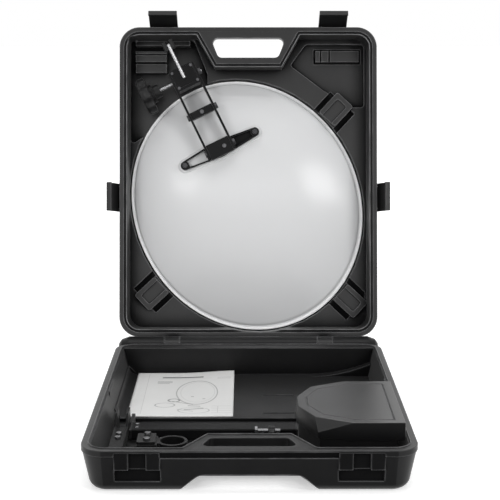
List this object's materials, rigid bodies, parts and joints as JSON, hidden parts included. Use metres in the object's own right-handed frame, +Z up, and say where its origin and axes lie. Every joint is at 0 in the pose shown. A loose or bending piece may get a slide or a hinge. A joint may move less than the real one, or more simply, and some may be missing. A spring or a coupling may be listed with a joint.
{
  "type": "portable satellite dish antenna in a carrying case",
  "caption": "Offset dish antenna with folding mast bracket, stowed in an open moulded carrying case with latches, accessory box, feed arm, clamps and booklet.",
  "frame": {"origin": "centre of the flat underside of the lower case half, which rests on the floor", "axes": "+X to the right, +Y to the hinge at the rear, +Z up"},
  "size_m": [0.4464, 0.6793, 0.5672],
  "materials": {
    "case_plastic": "fine-grained black moulding",
    "dish_paint": "smooth light grey powder coat",
    "black_steel": "satin black paint",
    "zinc_steel": "bright zinc",
    "grip_plastic": "black moulding",
    "head_plastic": "light grey moulding",
    "horn_alloy": "die-cast",
    "print_paper": null
  },
  "bodies": {
    "base": {"case_base": "case_plastic", "hinge_pins": "zinc_steel", "booklet": "print_paper", "feed_arm": "black_steel", "feed_arm_plugs": "grip_plastic", "feed_arm_screws": "zinc_steel", "feed_clamp": "grip_plastic", "feed_clamp_cap": "grip_plastic", "feed_clamp_bolts": "zinc_steel", "rail_bracket": "black_steel", "rail_screws": "zinc_steel", "wing_bolt": "zinc_steel", "wing_nut": "grip_plastic", "accessory_box": "case_plastic", "lnb_housing": "head_plastic", "lnb_horn": "horn_alloy", "lnb_cap": "head_plastic", "lnb_socket": "zinc_steel"},
    "lid": {"case_lid": "case_plastic", "latch_pins": "zinc_steel"},
    "latch_front_left_body": {"latch_front_left": "case_plastic"},
    "latch_front_right_body": {"latch_front_right": "case_plastic"},
    "latch_side_left_body": {"latch_side_left": "case_plastic"},
    "latch_side_right_body": {"latch_side_right": "case_plastic"},
    "antenna": {"reflector": "dish_paint", "bracket_foot": "black_steel", "foot_bolts": "zinc_steel", "foot_nuts": "zinc_steel", "arm_left": "black_steel", "arm_right": "black_steel", "arm_bolt": "zinc_steel", "arm_spacer": "black_steel", "spacer_bolt": "zinc_steel", "block_screws": "zinc_steel", "tilt_axle": "zinc_steel", "axle_nut": "zinc_steel"},
    "mast_clamp": {"clamp_block": "black_steel", "clamp_cover": "black_steel", "cover_screws": "zinc_steel", "clamp_rod": "zinc_steel"},
    "jaw": {"clamp_jaw": "grip_plastic"},
    "knob": {"tilt_knob": "grip_plastic"},
    "cover": {"box_cover": "case_plastic"}
  },
  "joints": [
    {"name": "lid_hinge", "type": "hinge", "parent": "base", "child": "lid", "pos_m": [0, 0.26271, 0.0451], "axis": [-1, 0, 0], "range_deg": [-102, 0]},
    {"name": "latch_front_left_hinge", "type": "hinge", "parent": "lid", "child": "latch_front_left_body", "pos_m": [-0.13512, 0.39359, 0.54013], "axis": [-1, 0, 0], "range_deg": [-25, 100]},
    {"name": "latch_front_right_hinge", "type": "hinge", "parent": "lid", "child": "latch_front_right_body", "pos_m": [0.13512, 0.39359, 0.54013], "axis": [-1, 0, 0], "range_deg": [-25, 100]},
    {"name": "latch_side_left_hinge", "type": "hinge", "parent": "lid", "child": "latch_side_left_body", "pos_m": [-0.20712, 0.33674, 0.27268], "axis": [0, -0.2079, -0.9781], "range_deg": [-20, 115]},
    {"name": "latch_side_right_hinge", "type": "hinge", "parent": "lid", "child": "latch_side_right_body", "pos_m": [0.20712, 0.33674, 0.27268], "axis": [0, 0.2079, 0.9781], "range_deg": [-20, 115]},
    {"name": "antenna_lift", "type": "slide", "parent": "lid", "child": "antenna", "axis": [0, -0.9781, 0.2079], "range_m": [0, 0.25]},
    {"name": "mast_tilt", "type": "hinge", "parent": "antenna", "child": "mast_clamp", "pos_m": [-0.10103, 0.37635, 0.46081], "axis": [0.8988, 0.0911, 0.4288], "range_deg": [0, 60]},
    {"name": "jaw_slide", "type": "slide", "parent": "mast_clamp", "child": "jaw", "axis": [0.4384, -0.1869, -0.8792], "range_m": [0, 0.028]},
    {"name": "knob_turn", "type": "hinge", "parent": "antenna", "child": "knob", "pos_m": [-0.15496, 0.37088, 0.43509], "axis": [0.8988, 0.0911, 0.4288], "continuous": true},
    {"name": "box_cover_lift", "type": "slide", "parent": "base", "child": "cover", "axis": [0, 0, 1], "range_m": [0, 0.12]}
  ]
}
